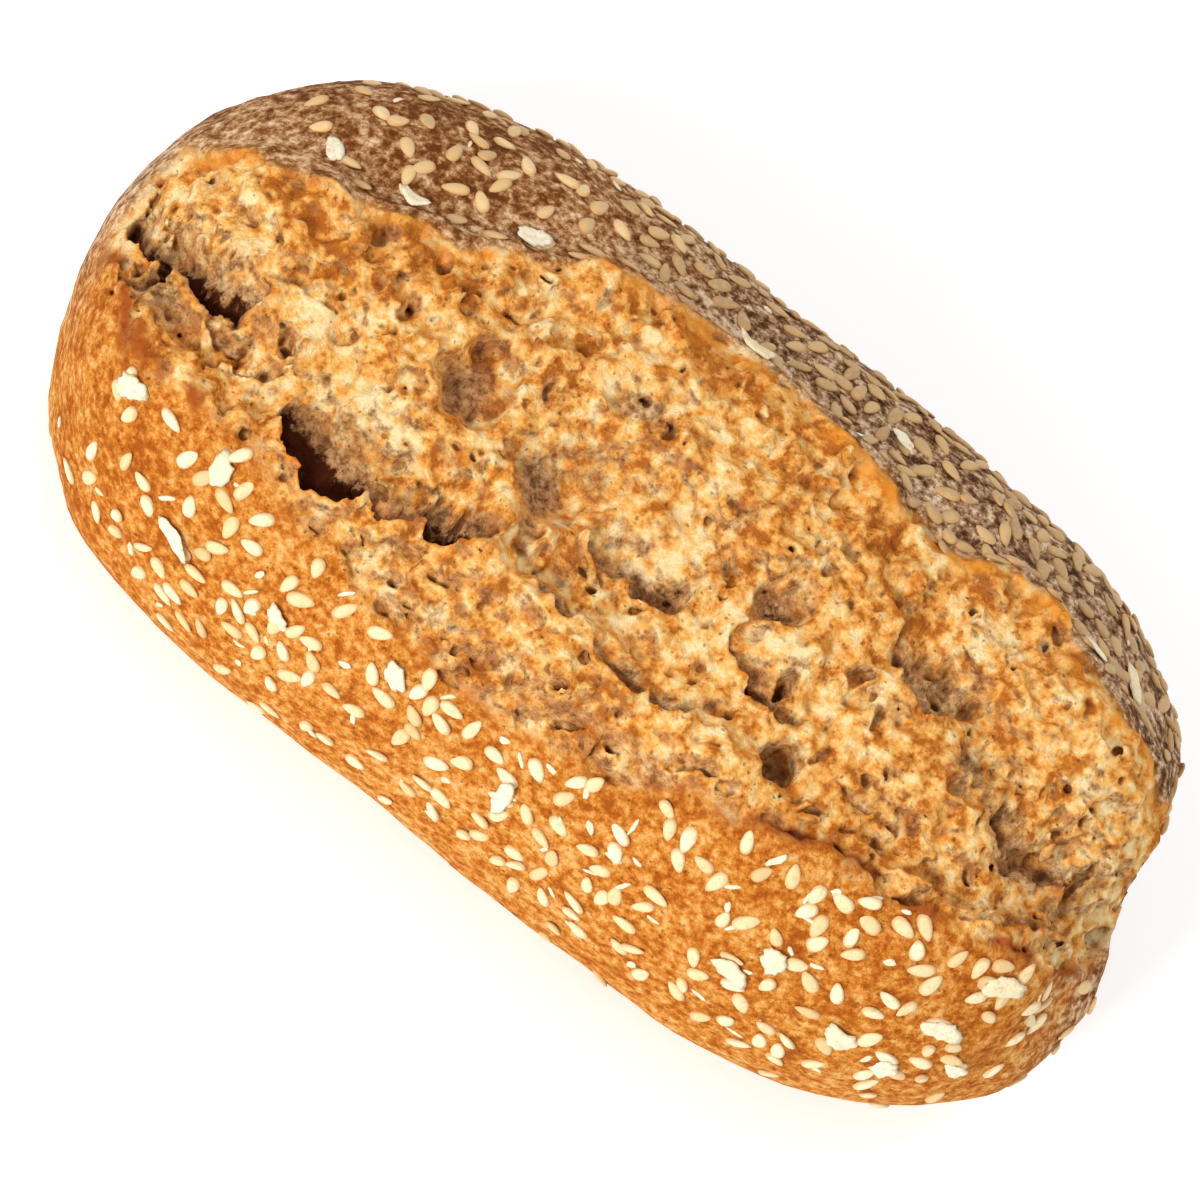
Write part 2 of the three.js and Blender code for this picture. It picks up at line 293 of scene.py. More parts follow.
# swells of crumb that curl under at their front edge, with painted shade beneath it: middle, half sizes,
# turn, depth there, strands
pillows = [
    ((-41.8, -4.4), (9, 8.4), -10, 8.4, 0.4), ((-32.3, -4.4), (5.4, 5.6), 32, 4.2, 0.6),
    ((-21.6, -1.8), (5.4, 5.4), -6, 6.8, 0.7), ((-4.7, -2.6), (4.3, 4.6), 2, 4.4, 0.3),
    ((8, -2.8), (4.6, 5.2), 4, 5, 0.5), ((17.2, -2.4), (4.6, 4.8), 7, 4.6, 0.5),
    ((26.4, 6.8), (7.4, 5.4), -12, 4.6, 0.4), ((1, 9.2), (8.8, 6.4), 2, 4.8, 0.2),
    ((-20, 11), (4.4, 4.6), -30, 2.2, 0.3), ((-66.5, 0.5), (3, 5), 10, 3, 0.6),
    ((-74.6, 6), (10.4, 8.4), 1, 7.8, 1.7), ((70.5, 14.4), (11, 6.6), -8, 3, 1.1),
    ((45, 22.2), (8.4, 6.8), -20, 3.8, 0.6), ((58, 16.4), (4.6, 4.4), -24, 2.6, 0.5),
    ((-61.5, -0.8), (4, 6.6), 24, 2.4, 0.6), ((-11, -16), (9, 3.4), 10, 1.3, 0.3),
    ((48, 2), (8, 4.6), 18, 1.8, 0.5), ((66, 0.6), (8, 4.4), 14, 1.8, 0.6),
    ((-36, 27), (7, 4), 24, 1.5, 0.3), ((2, 30), (9, 4.4), 0, 1.5, 0.3),
    ((33, 27), (7, 4), -10, 1.5, 0.3), ((-60, 12), (9, 4.6), 16, 1.5, 0.4),
    ((12, 16), (6, 4), -30, 1.5, 0.3), ((14, 32), (7, 3.4), -8, 1.2, 0.3),
    ((-18, 32), (7, 3.4), 12, 1.2, 0.3), ((58, 29), (8, 4.4), -16, 1.4, 0.4),
    ((76, 22), (6, 4.4), -24, 1.4, 0.4),
]

# bowls with a crisp edge: middle, half sizes, turn, depth
bowls = [
    ((-7, 8.4), (17, 13), 0, 2.5), ((-32.8, 11.8), (6, 7.4), -10, 5.2),
    ((20.6, 15.5), (2.8, 6), -13, 4.6), ((-9.4, 13.4), (4.4, 4.2), 8, 1.8),
    ((-32, 9.6), (1.4, 1.7), 0, 2.2), ((-28.4, 12), (1.2, 2.5), -8, 2.4),
    ((-35.4, 16.4), (1.2, 1.7), 20, 2), ((-16, 8), (8, 6), -24, 2.4),
    ((-12.4, -0.4), (5.8, 2.3), -52, 2.6), ((7.2, 6.4), (2.7, 2.1), 35, 2),
    ((29.2, 5.3), (1.2, 2.3), -12, 5.4), ((36, 12.8), (1.6, 1.9), 0, 3.6),
    ((41.3, 9.2), (1.3, 1.5), 0, 3), ((38.5, 18.4), (1.8, 1.5), 0, 2.8),
    ((47.8, 4.1), (1.2, 1.4), 0, 2.4), ((34.8, -3.6), (4.2, 2.7), 6, 6.4),
    ((38.7, 1.4), (0.9, 1.8), -8, 3.2), ((-23, 17.3), (1.6, 3.6), 0, 2),
    ((-10.8, 22.8), (6.4, 2.2), 22, 1.8), ((-42.6, 25), (1.9, 1.3), 0, 1.8),
    ((-34.3, 23.2), (2.2, 1.3), 10, 1.8), ((-47.3, 14.9), (1.3, 2.6), -8, 2.6),
    ((8.3, 19.5), (3, 1.8), -25, 2), ((22.9, 26), (3.3, 1.3), -4, 1.8),
    ((29.4, 30.1), (2.2, 1.8), 0, 1.6), ((-54, 7.6), (2.8, 2.3), 30, 1.8),
    ((-58.4, 1.2), (1.5, 2.6), 0, 3.6), ((-83.5, 0.7), (1.3, 2.9), 0, 4.6),
    ((-80, -6.4), (2.6, 2.2), 20, 2.4), ((-70.5, -6.6), (2.8, 2), 0, 1.8),
    ((62, -6.5), (3.2, 1.1), 35, 3), ((53.5, -3.8), (4.4, 1), 22, 2.2), ((72, -3.6), (3.4, 1), 24, 2),
    ((56, 9.3), (2, 1.6), 0, 3.2), ((66.4, 8.9), (1.7, 1.3), 0, 3.2), ((71.2, 9.6), (1.8, 1.4), 20, 3.2),
    ((75.6, 8.8), (1.5, 1.3), 0, 3), ((79.2, 7.2), (1.8, 1.5), 0, 3.2), ((81.5, 5), (3, 3.4), 10, 1.4),
    ((82, -0.6), (2.4, 1.8), 30, 2), ((-12.6, -4.2), (3.2, 1.9), -28, 1.6), ((7, -18), (1.7, 1.1), 20, 2),
    ((14.6, -15.8), (2, 1.2), 8, 2), ((27, -13.4), (2.8, 1.1), 14, 2), ((-37, -16.6), (1.5, 1.1), 0, 2),
    ((-19.6, -13.2), (1.6, 1.2), 0, 2.2), ((-24, -17), (2, 1), -20, 1.6),
    ((1.8, -15.2), (1.2, 1), 0, 1.8), ((43, -7.4), (2.2, 0.9), 16, 1.8),
]

# stretched fibres: middle, half sizes, direction, spacing, height
fibres = [
    ((-58.5, -7), (8, 6), 44, 1.7, 0.8), ((52, -3.5), (16, 5.5), 19, 1.5, 0.6),
    ((-73, -8), (9, 4.5), 76, 1.5, 0.5), ((30, -10), (12, 4.5), 14, 1.5, 0.4),
    ((-20, -16), (14, 5), 12, 1.6, 0.4), ((8, -13), (10, 4), 16, 1.6, 0.4),
    ((-50, 18), (14, 7), 40, 1.8, 0.3), ((60, 26), (16, 7), -22, 1.9, 0.3),
    ((-60, 9), (14, 6), 36, 1.7, 0.3), ((0, 26), (22, 7), 8, 1.9, 0.25),
]

# open, spongy crumb: middle, half sizes, turn, how open
sponge = [
    ((46, 19.6), (7.5, 4.6), 0, 1), ((57.5, 12.8), (4.6, 5.2), 0, 0.8), ((71, 8.6), (11, 3.6), 0, 0.9),
    ((84.4, 3.6), (4.6, 8.4), 0, 1), ((62, 2.4), (11, 4.4), 0, 0.7), ((77, 1), (9, 5.4), 0, 1),
    ((-77, -6), (8, 4.6), 0, 1), ((-66, -8.6), (6, 3.6), 0, 0.5), ((28, 3), (6, 2), 0, 0.6),
    ((-32.8, 11), (5, 6), 0, 0.5), ((0.5, 3), (8, 4.4), 0, 0.35), ((-10, 23.6), (9, 2.8), 0, 0.6),
    ((-75, 0), (10, 2.2), 0, 0.5), ((23, 26), (5, 2), 0, 0.4), ((8, 19.4), (4, 2.2), 0, 0.4),
]

# dips painted grey-brown as shade: middle, half sizes, turn, how much
shadedDips = [
    ((-16.2, 8), (8, 5.6), -24, 0.56), ((-12.4, -0.2), (6, 2.4), -52, 0.56),
    ((7.4, 6.6), (2.9, 2.4), 35, 0.62), ((-9.3, 13), (4.6, 4), 0, 0.34),
    ((-74, -0.8), (10.5, 3.4), 0, 0.7), ((-75, -6.2), (9.5, 3.4), 0, 0.42),
    ((-32.8, 11.8), (5.8, 7), -10, 0.52), ((47, 19.4), (8, 4.6), -8, 0.48),
    ((56.5, 12), (4.4, 4.4), 0, 0.4), ((70, 8.2), (12, 3), -4, 0.46),
    ((8.6, 19.2), (3.4, 2.2), -20, 0.4), ((-23, 17.3), (1.6, 3.6), 0, 0.42),
    ((20.6, 15.5), (2.8, 6), -13, 0.6), ((-12, 22.8), (7.4, 2.2), 12, 0.5),
    ((78, 0.8), (8, 3.4), 10, 0.34), ((-5, -5.6), (4, 1.8), 0, 0.5), ((8.4, -5.4), (4.6, 2.8), 4, 0.5),
    ((16.8, -5), (3.8, 2.4), 7, 0.46), ((-31, -7.4), (4, 2.2), 30, 0.46),
    ((-19.6, -4.4), (4.6, 2.4), -6, 0.54), ((28.6, 1.6), (6.4, 1.8), 0, 0.46),
    ((22.9, 26), (3.6, 1.6), -4, 0.34), ((-3, 0.4), (8, 2.6), -4, 0.34), ((28, 3.4), (5, 2.2), -10, 0.4),
]

# where the crumb is paler (positive) or more toasted (negative): middle, half sizes, turn, how much
toneSpots = [
    ((-42, -1.5), (9.5, 5), -8, 1.8), ((-74, 8), (10, 4), 6, 1.1), ((-22, 0.5), (5, 3), 0, 1.1),
    ((0.5, 8.5), (9, 4.6), -6, 1.5), ((-18.5, 10), (4, 3.4), -40, 1), ((26, 9.5), (6, 3), -12, 1.5),
    ((4.5, 13.5), (8, 1.8), -42, 1.2), ((-60, 6), (7, 4), 0, 0.8), ((60, 26), (14, 5), -18, 0.4),
    ((76, 20), (8, 5), -26, 0.4), ((46, 29), (8, 4), -10, 0.6), ((12, 0), (10, 3), 0, 0.6),
    ((-8, 30), (20, 4), 4, 0.4), ((-16, -14), (14, 4), 6, 0.4), ((30, -4), (14, 5), 16, 0.3),
    ((-44, 20), (12, 6), 30, -0.8), ((-60, 16), (12, 4), 14, -0.5), ((33, 24), (10, 6), -10, -0.7),
    ((0, 36), (30, 2.6), 0, -0.9), ((50, 34), (12, 2.6), -12, -0.8), ((-64, 19.5), (16, 2.4), 10, -0.9),
    ((10, -19), (18, 3.4), 10, -0.5), ((54, -6), (20, 3), 12, -0.7), ((-66, -12), (16, 3), 0, -0.6),
    ((10.5, 2), (3, 4), 20, -0.6), ((84.5, 4.5), (4, 8), 0, 1.3), ((-86, 2), (3.4, 8), 0, 1.6),
    ((-60, 36), (26, 8), 12, -1), ((-17, -14), (30, 6), 4, -0.3), ((16, -14), (24, 5), 8, -0.3),
    ((-66, -32), (16, 14), 0, -0.7), ((64, -24), (18, 10), 10, -0.5), ((-34, 24), (16, 7), 24, 0.5),
    ((-24, 22), (8, 5), 40, -0.5), ((-22, -9), (10, 2), 0, -0.7), ((18, -9.5), (16, 2), 6, -0.5),
]

crumb = {
    "seed": 41,
    "edgeRaise": 0.5, "edgeWidth": 0.7, "strandRaise": 0.9,
    "pillowPower": 3, "shadeFrom": 0.4,    # how square a swell is, and where its painted shade starts
    "shallowShade": (0.55, 3), "deepShade": (0.45, 5.5, 8),    # how dark the painted shade is, by depth under the edge
    "lumps": [(8, 0.6), (4.2, 0.52)],
    "creases": (2.9, 0.62),
    "grain": [(1.9, 0.4), (1.05, 0.3)],
    "pits": [(2.3, 2.2, 1.75), (1.3, 1.2, 1.6)],    # size, depth and how rare
    "spongeOpen": 1.7, "calm": 0.45,    # how much smoother the pale swells are
    "pores": 340, "poreSize": (0.25, 0.6),
    "strandSize": (0.75, 3.4), "strandLevel": 0.8,    # spacing of the strands, and how long they run
    "crustLumps": [(17, 0.45), (5, 0.17), (2.3, 0.09)],
}


def wander(offset):
    return sum(height * planNoise(planU / size, planV / size, crumb["seed"] + offset + i)
               for i, (size, height) in enumerate(tornEdge["wander"]))


report("plan of the torn top")
warpU, warpV = planU + wander(60), planV + wander(70)
beyondFront = warpV - easedLine(tornEdge["front"], planU)
beforeBack = easedLine(tornEdge["back"], planU) - planV - tornEdge["backWander"] * wander(80)
tornEnds = 1 - smooth(*tornEdge["leftAndRight"], np.abs(planX))
tornEnds = tornEnds * smooth(*tornEdge["heights"], loaf.heights())
tornPlan = smooth(-0.7, 0.7, beyondFront) * smooth(-0.5, 0.5, beforeBack) * tornEnds
hollow, paintedShade, edge, strands, openness, tone = (np.zeros(planU.shape) for _ in range(6))


def grow(field, values):
    # the larger of the two stays
    np.maximum(field, values, out=field)


def layPillows():
    size, length = crumb["strandSize"]
    power = crumb["pillowPower"]
    (shallow, shallowDepth), (more, moreFrom, moreTo) = crumb["shallowShade"], crumb["deepShade"]
    lines = crumb["strandLevel"] - np.abs(planNoise(warpU / size, warpV / length, crumb["seed"] + 1))
    for at, half, turn, deep, strandShare in pillows:
        along, across = turnedPlace(warpU, warpV, at, half, turn)
        narrow = np.maximum(1 - np.abs(along) ** power, 1e-4) ** (1 / power)
        t = np.clip((1 - across / narrow) / 2, 0, 1)
        inside = smooth(-0.3, 0.3, (across + narrow) * half[1]) * (np.abs(along) < 1)
        depth = deep * narrow ** 0.6 * (1 - np.sqrt(1 - t * t)) * inside
        grow(hollow, depth)
        weight = shallow * min(1, deep / shallowDepth) + more * float(smooth(moreFrom, moreTo, deep))
        # painted shade: brown under the swell's front edge, where its overhang shades it
        grow(paintedShade, smooth(crumb["shadeFrom"], 1.0, t) * inside * narrow ** 0.5 * weight)
        reach = (np.hypot(along, across) - 1) * min(half)
        grow(edge, bell(reach, 0.9, crumb["edgeWidth"]) * smooth(0.1, -0.4, across) * weight)
        grow(strands, strandShare * smooth(0.2, 0.6, t) * inside * narrow)
    strands[:] *= lines
    paintedShade[:] *= 1 - 0.35 * np.clip(strands, 0, 1)


def layBowls():
    for at, half, turn, deep in bowls:
        along, across = turnedPlace(warpU, warpV, at, half, turn)
        reach = np.hypot(along, across)
        depth = deep * np.maximum(1 - reach ** 2, 0) ** 0.6
        hollow[:] += depth * (1 - 0.5 * smooth(2, 6, hollow))
        # painted shade: darker deeper in the bowl and towards its front side
        weight = min(1, deep / 8)
        lower = 0.75 - 0.25 * np.clip(across, -1, 1)
        grow(paintedShade, (depth / deep) ** 1.2 * weight * lower)
        rim = bell((reach - 1) * min(half), 0.7, crumb["edgeWidth"]) * smooth(0.6, -0.6, across) * weight
        grow(edge, 0.8 * rim)


def placed(patches):
    for at, half, turn, amount in patches:
        yield amount, np.hypot(*turnedPlace(warpU, warpV, at, half, turn))


def layPatches():
    for share, reach in placed(sponge):
        grow(openness, share * (1 - smooth(0.5, 1.2, reach)))
    # painted shade in the dips
    for share, reach in placed(shadedDips):
        grow(paintedShade, share * (1 - smooth(0.2, 1.25, reach)))
    for amount, reach in placed(toneSpots):
        tone[:] += amount * (1 - smooth(0.3, 1.3, reach))
    for number, (at, half, turn, spacing, height) in enumerate(fibres):
        along, across = turnedPlace(warpU, warpV, at, (spacing * 4, spacing), turn)
        ridges = crumb["strandLevel"] - np.abs(planNoise(along, across, crumb["seed"] + 90 + number))
        along, across = turnedPlace(planU, planV, at, half, turn)
        strands[:] += height * ridges * np.exp(-1.2 * (along ** 2 + across ** 2))


def stampPores():
    random = np.random.default_rng(crumb["seed"] + 50)
    chance = (tornPlan > 0.9) * (beforeBack > 1.5) * (0.3 + 2 * openness)
    chance = chance * (1 - 0.9 * smooth(0.2, 1.0, tone))    # few on the pale swells
    chosen = random.choice(chance.size, crumb["pores"], p=(chance / chance.sum()).ravel())
    for index in chosen:
        i, j = divmod(int(index), chance.shape[1])
        half = random.uniform(*crumb["poreSize"]) * (1 + 0.7 * openness[i, j] * random.random())
        stretch, turn = random.uniform(1.0, 1.8), random.uniform(0, 180)
        reach = int(half * stretch / loaf.voxel) + 3
        box = (slice(max(0, i - reach), i + reach), slice(max(0, j - reach), j + reach))
        middle = (warpU[i, j], warpV[i, j])
        along, across = turnedPlace(warpU[box], warpV[box], middle, (half * stretch, half), turn)
        depth = 1.9 * half * np.sqrt(np.maximum(1 - along ** 2 - across ** 2, 0))
        grow(hollow[box], hollow[i, j] * 0.5 * (depth > 0) + depth)
        # painted shade inside the pore
        grow(paintedShade[box], 0.5 * depth / (1.9 * half))


def layers(which, offset, onlyTop=False):
    return sum(height * loaf.noise(size, crumb["seed"] + offset + i, onlyTop)
               for i, (size, height) in enumerate(which))


def layCrust():
    sides = (1 - tornPlan * 0.8)[:, :, None] * smooth(0.5, 5, loaf.z)
    loaf.distance -= layers(crumb["crustLumps"], 0) * sides.astype(np.float32)


def layCrumb():
    size, height = crumb["creases"]
    rougher = (1 - crumb["calm"] * smooth(0.3, 1.3, tone))[:, :, None]
    inward = height * (np.abs(loaf.noise(size, crumb["seed"] + 20, True)) - 0.8) * rougher
    inward -= layers(crumb["grain"], 10, True) * (1 - 0.4 * smooth(2, 5, hollow))[:, :, None]
    inward -= layers(crumb["lumps"], 30, True)
    open3 = (crumb["spongeOpen"] * openness)[:, :, None]
    shallow = (1 - smooth(3.0, 5.5, hollow))[:, :, None] * rougher
    for number, (size, deep, rare) in enumerate(crumb["pits"]):
        pit = loaf.noise(size, crumb["seed"] + 40 + number, True) + open3 * (0.6 + 0.4 * number)
        inward += deep * smooth(rare, rare + 1.1, pit) * shallow
    inward += (hollow - crumb["edgeRaise"] * edge - crumb["strandRaise"] * strands)[:, :, None]
    share = tornPlan[:, :, None] * smooth(24, 34, loaf.z[loaf.top[2]])
    loaf.distance[loaf.top] += np.minimum(inward * share, volume["deepest"]).astype(np.float32)


def localShare(values, reach):
    # share of solid within a box of this many millimetres round each voxel
    count = max(1, int(round(reach / loaf.voxel)))
    share = values
    for axis in range(3):
        size = values.shape[axis]
        total = np.insert(np.cumsum(share, axis), 0, 0, axis)
        starts = np.maximum(np.arange(size) - count, 0)
        ends = np.minimum(np.arange(size) + count + 1, size)
        counts = (ends - starts).astype(np.float32).reshape([-1 if k == axis else 1 for k in range(3)])
        share = (np.take(total, ends, axis) - np.take(total, starts, axis)) / counts
    return share


def largestBody(pointCount, triangles):
    label = np.arange(pointCount)
    edges = np.concatenate([triangles[:, [0, 1]], triangles[:, [1, 2]]]).astype(np.int64)
    while True:
        low = np.minimum(label[edges[:, 0]], label[edges[:, 1]])
        new = label.copy()
        np.minimum.at(new, edges[:, 0], low)
        np.minimum.at(new, edges[:, 1], low)
        new = new[new]
        if (new == label).all():
            break
        label = new
    names, sizes = np.unique(label, return_counts=True)
    return label == names[np.argmax(sizes)]


def bodyArrays():
    grid = openvdb.FloatGrid(float(loaf.distance.max()))
    grid.copyFromArray(loaf.distance)
    points, triangles, quads = grid.convertToPolygons(0.0, volume["merge"])
    triangles = np.concatenate([triangles, quads[:, [0, 1, 2]], quads[:, [0, 2, 3]]]).astype(np.int64)
    kept = largestBody(len(points), triangles)
    number = np.cumsum(kept) - 1
    triangles = number[triangles[kept[triangles[:, 0]]]]
    points = points[kept] * loaf.voxel + loaf.low
    points[:, 2] = np.maximum(points[:, 2], 0)
    return points, triangles


def inScene(name, data):
    made = bpy.data.objects.new(name, data)
    bpy.context.collection.objects.link(made)
    return made


def meshObject(name, points, faces, attributes, material):
    mesh = bpy.data.meshes.new(name)
    sides = faces.shape[1]
    mesh.vertices.add(len(points))
    mesh.vertices.foreach_set("co", (points * mm).astype(np.float32).ravel())
    mesh.loops.add(faces.size)
    mesh.loops.foreach_set("vertex_index", faces.astype(np.int32).ravel())
    mesh.polygons.add(len(faces))
    mesh.polygons.foreach_set("loop_start", np.arange(0, faces.size, sides, dtype=np.int32))
    mesh.polygons.foreach_set("use_smooth", np.ones(len(faces), bool))
    mesh.update(calc_edges=True)
    for attribute, values in attributes.items():
        layer = mesh.attributes.new(attribute, "FLOAT", "POINT")
        layer.data.foreach_set("value", values.astype(np.float32))
    mesh.materials.append(material)
    return inScene(name, mesh)


report("swells, bowls and pores")
layPillows()
layBowls()
layPatches()
stampPores()
report("lumps of crust and crumb")
layCrust()
layCrumb()
solidShare = (loaf.distance < 0).astype(np.float32)
bodyPoints, bodyFaces = bodyArrays()
report(f"body of {len(bodyFaces)} faces")


# Finishes
def newMaterial(name):
    material = bpy.data.materials.new(name)
    material.use_nodes = True
    material.node_tree.nodes.clear()
    return material, material.node_tree


def feed(tree, socket, value):
    if isinstance(value, (int, float)):
        socket.default_value = value
    elif isinstance(value, tuple):
        socket.default_value = (*value, 1)
    else:
        tree.links.new(value, socket)


def newNode(tree, kind, **inputs):
    # a node with its inputs given by name, with _ for each space
    made = tree.nodes.new(kind)
    for name, value in inputs.items():
        feed(tree, made.inputs[name.replace("_", " ")], value)
    return made


def noiseNode(tree, coords, size, detail=3.0, rough=0.55, distortion=0.0):
    return newNode(tree, "ShaderNodeTexNoise", Vector=coords, Scale=1 / (size * mm), Detail=detail,
                   Roughness=rough, Distortion=distortion).outputs["Fac"]


def rampNode(tree, value, stops):
    made = newNode(tree, "ShaderNodeValToRGB", Fac=value)
    elements = made.color_ramp.elements
    while len(elements) < len(stops):
        elements.new(0.5)
    for element, (place, colour) in zip(elements, stops):
        element.position = place
        element.color = (*colour, 1)
    return made.outputs["Color"]


def stepNode(tree, value, low, high, fromValue=0.0, toValue=1.0):
    made = newNode(tree, "ShaderNodeMapRange", Value=value, From_Min=low, From_Max=high,
                   To_Min=fromValue, To_Max=toValue)
    made.interpolation_type = "SMOOTHSTEP"
    return made.outputs["Result"]


def mathNode(tree, operation, first, second):
    made = tree.nodes.new("ShaderNodeMath")
    made.operation = operation
    feed(tree, made.inputs[0], first)
    feed(tree, made.inputs[1], second)
    return made.outputs["Value"]


def weighted(tree, value, share, other):
    # a value with some share of another laid over it
    return mathNode(tree, "ADD", value, mathNode(tree, "MULTIPLY", other, share))


def mixColour(tree, share, first, second):
    made = tree.nodes.new("ShaderNodeMix")
    made.data_type = "RGBA"
    for number, value in ((0, share), (6, first), (7, second)):
        feed(tree, made.inputs[number], value)
    return made.outputs[2]


def attributeNode(tree, name):
    made = tree.nodes.new("ShaderNodeAttribute")
    made.attribute_name = name
    return made.outputs["Fac"]


def objectCoords(tree):
    return tree.nodes.new("ShaderNodeTexCoord").outputs["Object"]


def speckNode(tree, coords, size, spread, rare):
    # small uneven specks, in some of the cells of a pattern
    cells = newNode(tree, "ShaderNodeTexVoronoi", Vector=coords, Scale=1 / (size * mm))
    chosen = newNode(tree, "ShaderNodeSeparateColor", Color=cells.outputs["Color"])
    uneven = weighted(tree, cells.outputs["Distance"], 0.8, noiseNode(tree, coords, size * 0.4, 3.0, 0.6))
    spot = stepNode(tree, uneven, 0.4 + spread, 0.4 + spread * 0.6)
    return mathNode(tree, "MULTIPLY", spot, stepNode(tree, chosen.outputs["Red"], rare, rare + 0.1))


def finishShader(tree, colour, bumpHeight, bumpDistance, roughness, specular):
    shader = newNode(tree, "ShaderNodeBsdfPrincipled", Base_Color=colour, Roughness=roughness,
                     Specular_IOR_Level=specular)
    if bumpHeight is not None:
        bump = newNode(tree, "ShaderNodeBump", Strength=1.0, Distance=bumpDistance * mm, Height=bumpHeight)
        tree.links.new(bump.outputs["Normal"], shader.inputs["Normal"])
    newNode(tree, "ShaderNodeOutputMaterial", Surface=shader.outputs["BSDF"])
    return shader


bread = {
    "crust": [(0.36, (0.36, 0.085, 0.008)), (0.44, (0.5, 0.143, 0.015)), (0.5, (0.61, 0.215, 0.03)),
              (0.57, (0.71, 0.315, 0.066)), (0.66, (0.79, 0.46, 0.17))],
    "dullAndShaded": [(0.37, (0.07, 0.026, 0.01)), (0.44, (0.18, 0.08, 0.034)), (0.5, (0.34, 0.185, 0.092)),
             (0.57, (0.6, 0.39, 0.225)), (0.64, (0.84, 0.64, 0.45))],
    "crumb": [(0.36, (0.44, 0.13, 0.018)), (0.43, (0.66, 0.245, 0.04)), (0.482, (0.8, 0.37, 0.085)),
              (0.532, (0.88, 0.47, 0.128)), (0.59, (0.92, 0.585, 0.215)), (0.665, (0.95, 0.735, 0.385))],
    # painted shade: grey-brown to near-black for undersides, dips, crevices and the bottoms of hollows
    "shade": [(0.36, (0.17, 0.059, 0.02)), (0.48, (0.37, 0.176, 0.074)), (0.6, (0.6, 0.355, 0.165))],
    "deep": (0.062, 0.013, 0.004),
    "bran": (0.17, 0.04, 0.01),
    "edge": (0.78, 0.25, 0.026),
    "orange": (0.84, 0.32, 0.038),
    "char": (0.34, 0.07, 0.01),
    "lip": (0.82, 0.3, 0.032),
    # noises: size in millimetres, detail and roughness
    "fine": (1.5, 5, 0.7), "broad": (7, 3, 0.5), "grain": (2.3, 3.5, 0.62),
    "toast": (2.6, 4, 0.65), "relief": (1.1, 5, 0.68),
    "branSpecks": (1.5, 0.16, 0.45),    # size, spread and how rare
    "branOnCrust": 0.55, "branOnCrumb": 0.5,
    # mottling: what comes off the noise, and the shares of broad patches and of tone laid over it
    "crustMottle": (0.15, 0.3, 0.05), "crumbMottle": (0.24, 0.5, 0.085),
    # steps: from, to, least and most
    "toastStep": (0.52, 0.64, 0, 0.35), "edgeStep": (0.15, 0.9, 0, 0.7), "shadeStep": (0.25, 0.8, 0, 0.9),
    "blackShadeStep": (0.82, 1.06, 0, 1), "creviceShadeStep": (0.6, 0.76, 0, 0.6),
    "bumpDepth": 0.9, "roughness": 0.9, "specular": 0.06,
}


def mottled(tree, noise, broad, amounts):
    level, broadShare, toneShare = amounts
    value = weighted(tree, mathNode(tree, "SUBTRACT", noise, level), broadShare, broad)
    return weighted(tree, value, toneShare, attributeNode(tree, "tone"))


def breadMaterial():
    material, tree = newMaterial("breadCrust")
    coords = objectCoords(tree)
    fine = noiseNode(tree, coords, *bread["fine"])
    broad = noiseNode(tree, coords, *bread["broad"])
    bran = speckNode(tree, coords, *bread["branSpecks"])

    # crust: orange-brown and mottled where it browned, duller and darker on the far side, partly as painted
    # shade, and at the tips
    mottle = mottled(tree, fine, broad, bread["crustMottle"])
    browned, dullAndShaded = rampNode(tree, mottle, bread["crust"]), rampNode(tree, mottle, bread["dullAndShaded"])
    crust = mixColour(tree, attributeNode(tree, "dullAndShaded"), browned, dullAndShaded)
    crust = mixColour(tree, mathNode(tree, "MULTIPLY", bran, bread["branOnCrust"]), crust, bread["bran"])

    # crumb: mottled toast, paler on the swells, with painted shade brown under their edges and in dips and
    # crevices, and near-black at the bottom of hollows
    grain = mottled(tree, noiseNode(tree, coords, *bread["grain"]), broad, bread["crumbMottle"])
    toasted = noiseNode(tree, coords, *bread["toast"])
    edge = mathNode(tree, "MULTIPLY", attributeNode(tree, "edge"), stepNode(tree, fine, 0.36, 0.56))
    raggedShade = mathNode(tree, "MULTIPLY", attributeNode(tree, "paintedShade"), 1.5)
    raggedShade = mathNode(tree, "SUBTRACT", mathNode(tree, "ADD", raggedShade, 0.5), fine)
    colour = rampNode(tree, grain, bread["crumb"])
    # painted shade laid over the crumb: grey-brown, then near-black where the shade mask is high, and dark
    # brown in crevices
    for share, over in (
            (stepNode(tree, toasted, *bread["toastStep"]), bread["orange"]),
            (stepNode(tree, edge, *bread["edgeStep"]), bread["edge"]),
            (stepNode(tree, raggedShade, *bread["shadeStep"]), rampNode(tree, fine, bread["shade"])),
            (stepNode(tree, raggedShade, *bread["blackShadeStep"]), bread["deep"]),
            (stepNode(tree, attributeNode(tree, "creviceShade"), *bread["creviceShadeStep"]), bread["shade"][0][1]),
            (mathNode(tree, "MULTIPLY", bran, bread["branOnCrumb"]), bread["bran"])):
        colour = mixColour(tree, share, colour, over)

    colour = mixColour(tree, attributeNode(tree, "crumb"), crust, colour)
    for name in ("lip", "char"):
        colour = mixColour(tree, attributeNode(tree, name), colour, bread[name])
    height = weighted(tree, noiseNode(tree, coords, *bread["relief"]), -0.25, bran)
    finishShader(tree, colour, height, bread["bumpDepth"], bread["roughness"], bread["specular"])
    return material


def unit(vectors):
    return vectors / np.maximum(np.linalg.norm(vectors, axis=1, keepdims=True), 1e-6)


def outward(distance, points, step=1.2):
    # which way the surface faces
    around = []
    for axis in range(3):
        shift = np.zeros(3)
        shift[axis] = step
        around.append(loaf.sample(distance, points + shift) - loaf.sample(distance, points - shift))
    return unit(np.stack(around, axis=-1))


